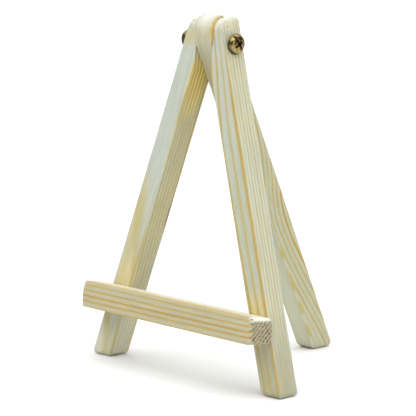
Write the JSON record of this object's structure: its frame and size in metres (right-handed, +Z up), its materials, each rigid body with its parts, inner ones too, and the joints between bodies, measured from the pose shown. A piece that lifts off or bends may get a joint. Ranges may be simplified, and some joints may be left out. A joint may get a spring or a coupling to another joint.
{
  "type": "table-top display easel",
  "caption": "Small folding wooden easel: two splayed front legs with a ledge, and a rear leg hinged between them on a through screw.",
  "frame": {"origin": "on the surface the feet stand on, under the middle of the object", "axes": "+Z up, +X to the right seen from the front, +Y towards the rear leg, so the display side faces -Y"},
  "size_m": [0.1102, 0.0921, 0.1446],
  "materials": {
    "pine_leg": "bare planed pine",
    "pine_ledge": "bare planed pine",
    "yellow_zinc": "yellow passivated zinc plating",
    "bare_steel": "bright drawn wire"
  },
  "bodies": {
    "front_frame": {"left_front_leg": "pine_leg", "right_front_leg": "pine_leg", "ledge_bar": "pine_ledge", "pivot_screw": "yellow_zinc", "hex_nut": "yellow_zinc", "left_nail": "bare_steel", "right_nail": "bare_steel"},
    "rear_prop": {"rear_leg": "pine_leg"}
  },
  "joints": [
    {"name": "rear_leg_hinge", "type": "hinge", "parent": "front_frame", "child": "rear_prop", "pos_m": [0, -0.01926, 0.1339], "axis": [1, 0, 0], "range_deg": [-28.8, 36]}
  ]
}
